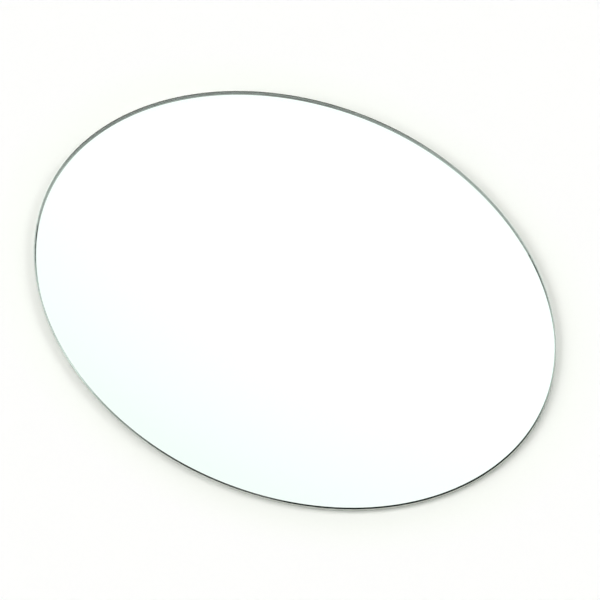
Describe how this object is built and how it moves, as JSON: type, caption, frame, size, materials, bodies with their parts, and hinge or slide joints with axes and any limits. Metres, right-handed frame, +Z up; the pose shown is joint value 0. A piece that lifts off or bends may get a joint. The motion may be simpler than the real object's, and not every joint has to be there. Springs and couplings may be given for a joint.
{
  "type": "car door mirror glass",
  "caption": "Flat oval glass of a car door mirror, silvered on the back, with a ground edge. Bonded or clipped to the mirror's backing plate.",
  "frame": {"origin": "centre of the back face, which lies on the XY plane", "axes": "+X along the oval's long axis, +Y across it, +Z up out of the mirror face"},
  "size_m": [0.16, 0.12, 0.0018],
  "materials": {
    "silvered_glass": "clear faintly green float glass, polished front, bright silvering on the back under grey protective paint, fine-ground grey-green edge"
  },
  "bodies": {
    "root": {"mirror_glass": "silvered_glass"}
  },
  "joints": []
}
